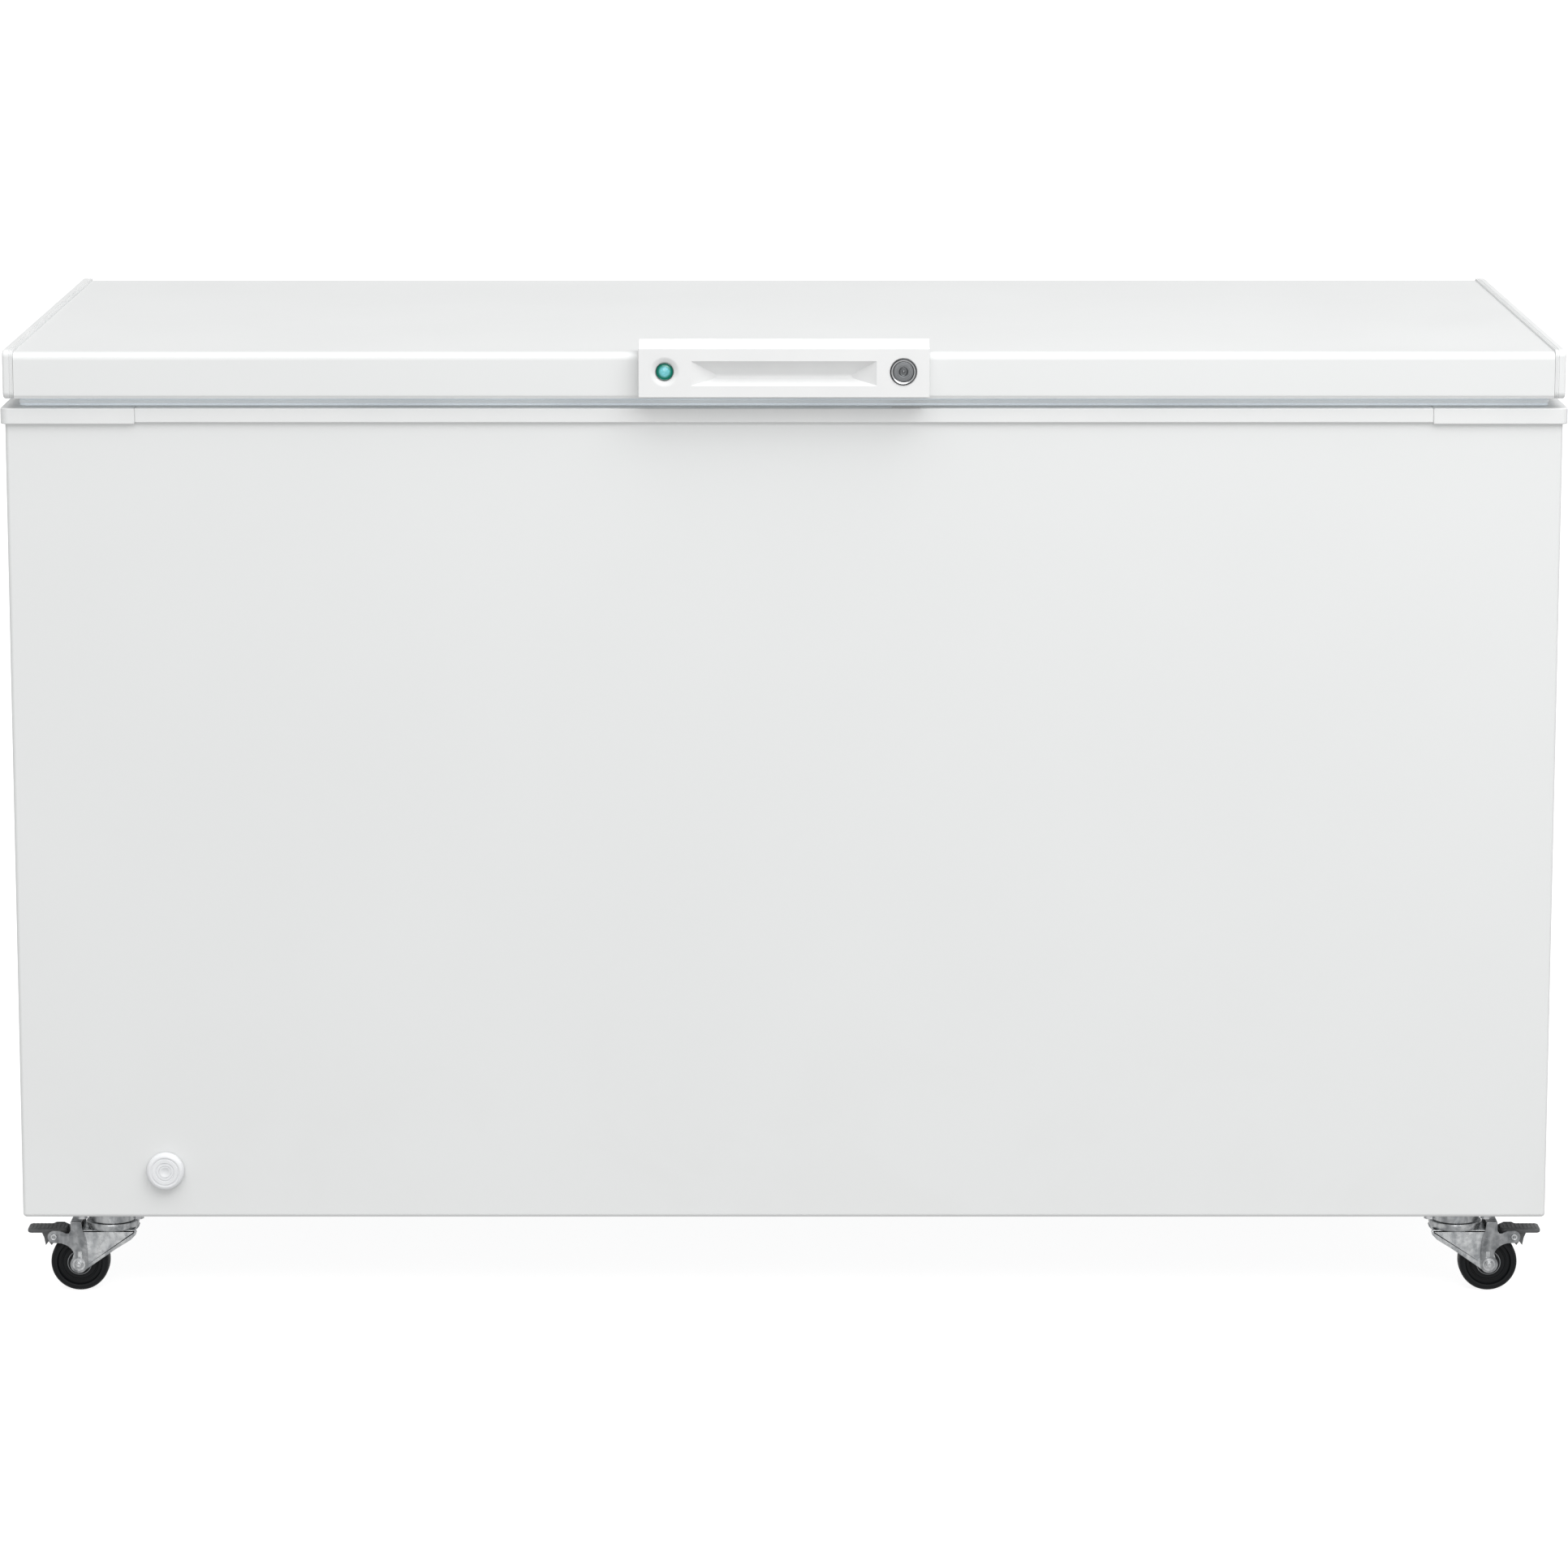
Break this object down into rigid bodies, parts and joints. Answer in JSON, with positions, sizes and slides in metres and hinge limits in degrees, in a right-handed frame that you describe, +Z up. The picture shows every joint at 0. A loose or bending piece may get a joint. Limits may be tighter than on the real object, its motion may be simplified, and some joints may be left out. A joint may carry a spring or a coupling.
{
  "type": "chest freezer",
  "caption": "White chest freezer with a rear-hinged lid, front pull handle with lock and power light, hung baskets, side vent, drain, and braked swivel casters.",
  "frame": {"origin": "on the floor under the middle of the outline", "axes": "+X to the right seen from the front, -Y out of the front, +Z up"},
  "size_m": [1.565, 0.7502, 0.9907],
  "materials": {
    "white_paint": "white baked paint with a faint orange peel",
    "back_paint": "grey baked paint",
    "base_steel": "galvanised sheet",
    "foam": "expanded polyurethane foam",
    "liner": "glossy white liner sheet",
    "trim": "moulded white plastic, satin",
    "handle": "moulded white plastic, satin",
    "gasket": "soft pale grey vinyl",
    "copper": "drawn copper tube",
    "black_shell": "black enamel",
    "grommet": "soft black rubber",
    "relay": "moulded black plastic",
    "grille": "moulded white plastic, fine texture",
    "gland": "black rubber",
    "control": "moulded white plastic",
    "knob": "moulded grey plastic",
    "drain": "moulded white plastic",
    "stopper": "grey rubber",
    "hinge_steel": "zinc plated sheet",
    "spring_steel": "oiled spring wire",
    "zinc": "bright zinc plate, lightly mottled",
    "bolt": "zinc plated, turned",
    "green_lens": "lit translucent green",
    "lock_ring": "polished",
    "lock_core": "brushed nickel plate",
    "wire": "white plastic coated wire",
    "tyre": "hard black rubber",
    "pedal": "ribbed dark grey plastic"
  },
  "bodies": {
    "cabinet": {"cabinet_wrapper": "white_paint", "back_panel": "back_paint", "cabinet_base": "base_steel", "cabinet_foam": "foam", "inner_liner": "liner", "trim_front": "trim", "trim_back": "trim", "trim_left": "trim", "trim_right": "trim", "trim_corner_front_left": "trim", "trim_corner_front_right": "trim", "trim_corner_back_left": "trim", "trim_corner_back_right": "trim", "evaporator_coil": "copper", "condenser_coil": "copper", "compressor": "black_shell", "compressor_grommets": "grommet", "start_relay": "relay", "refrigerant_pipes": "copper", "vent_grille": "grille", "cord_gland": "gland", "thermostat_housing": "control", "drain_tube": "drain", "hinge_brackets": "hinge_steel", "hinge_pins": "bolt", "hinge_springs": "spring_steel", "caster_plates": "zinc", "caster_bolts": "bolt"},
    "lid": {"lid_panel": "white_paint", "lid_cap_left": "trim", "lid_cap_right": "trim", "lid_foam": "foam", "lid_liner": "liner", "lid_gasket": "gasket", "hinge_leaves": "hinge_steel", "handle_body": "handle", "power_light": "green_lens", "lock_housing": "lock_ring"},
    "lock": {"lock_cylinder": "lock_core"},
    "thermostat": {"thermostat_knob": "knob"},
    "drain_cap": {"drain_plug": "drain"},
    "stopper": {"drain_stopper": "stopper"},
    "basket_l": {"basket_left": "wire"},
    "basket_r": {"basket_right": "wire"},
    "swivel_front_left": {"fork_front_left": "zinc", "axle_front_left": "bolt", "brake_bracket_left": "zinc"},
    "roller_front_left": {"wheel_front_left": "tyre"},
    "swivel_front_right": {"fork_front_right": "zinc", "axle_front_right": "bolt", "brake_bracket_right": "zinc"},
    "roller_front_right": {"wheel_front_right": "tyre"},
    "swivel_back_left": {"fork_back_left": "zinc", "axle_back_left": "bolt"},
    "roller_back_left": {"wheel_back_left": "tyre"},
    "swivel_back_right": {"fork_back_right": "zinc", "axle_back_right": "bolt"},
    "roller_back_right": {"wheel_back_right": "tyre"},
    "pedal_left": {"brake_pedal_left": "pedal"},
    "pedal_right": {"brake_pedal_right": "pedal"}
  },
  "joints": [
    {"name": "lid_hinge", "type": "hinge", "parent": "cabinet", "child": "lid", "pos_m": [0, 0.3671, 0.925], "axis": [-1, 0, 0], "range_deg": [0, 80]},
    {"name": "lock_turn", "type": "hinge", "parent": "lid", "child": "lock", "pos_m": [0.1185, -0.36, 0.9597], "axis": [0, 1, 0], "range_deg": [0, 90]},
    {"name": "thermostat_turn", "type": "hinge", "parent": "cabinet", "child": "thermostat", "pos_m": [0.687, -0.1099, 0.56], "axis": [-1, 0, 0], "range_deg": [0, 270]},
    {"name": "drain_plug_pull", "type": "slide", "parent": "cabinet", "child": "drain_cap", "axis": [0, -1, 0], "range_m": [0, 0.025]},
    {"name": "stopper_lift", "type": "slide", "parent": "cabinet", "child": "stopper", "axis": [0, 0, 1], "range_m": [0, 0.03]},
    {"name": "basket_left_slide", "type": "slide", "parent": "cabinet", "child": "basket_l", "axis": [1, 0, 0], "range_m": [0, 0.38]},
    {"name": "basket_right_slide", "type": "slide", "parent": "cabinet", "child": "basket_r", "axis": [-1, 0, 0], "range_m": [0, 0.38]},
    {"name": "swivel_turn_front_left", "type": "hinge", "parent": "cabinet", "child": "swivel_front_left", "pos_m": [-0.691, -0.2974, 0.06], "axis": [0, 0, 1], "continuous": true},
    {"name": "wheel_roll_front_left", "type": "hinge", "parent": "swivel_front_left", "child": "roller_front_left", "pos_m": [-0.725, -0.2974, 0.03], "axis": [0, 1, 0], "continuous": true},
    {"name": "swivel_turn_front_right", "type": "hinge", "parent": "cabinet", "child": "swivel_front_right", "pos_m": [0.691, -0.2974, 0.06], "axis": [0, 0, 1], "continuous": true},
    {"name": "wheel_roll_front_right", "type": "hinge", "parent": "swivel_front_right", "child": "roller_front_right", "pos_m": [0.725, -0.2974, 0.03], "axis": [0, 1, 0], "continuous": true},
    {"name": "swivel_turn_back_left", "type": "hinge", "parent": "cabinet", "child": "swivel_back_left", "pos_m": [-0.691, 0.3016, 0.06], "axis": [0, 0, 1], "continuous": true},
    {"name": "wheel_roll_back_left", "type": "hinge", "parent": "swivel_back_left", "child": "roller_back_left", "pos_m": [-0.725, 0.3016, 0.03], "axis": [0, 1, 0], "continuous": true},
    {"name": "swivel_turn_back_right", "type": "hinge", "parent": "cabinet", "child": "swivel_back_right", "pos_m": [0.691, 0.3016, 0.06], "axis": [0, 0, 1], "continuous": true},
    {"name": "wheel_roll_back_right", "type": "hinge", "parent": "swivel_back_right", "child": "roller_back_right", "pos_m": [0.725, 0.3016, 0.03], "axis": [0, 1, 0], "continuous": true},
    {"name": "brake_press_left", "type": "hinge", "parent": "swivel_front_left", "child": "pedal_left", "pos_m": [-0.7504, -0.2974, 0.059], "axis": [0, -1, 0], "range_deg": [0, 18]},
    {"name": "brake_press_right", "type": "hinge", "parent": "swivel_front_right", "child": "pedal_right", "pos_m": [0.7504, -0.2974, 0.059], "axis": [0, 1, 0], "range_deg": [0, 18]}
  ]
}
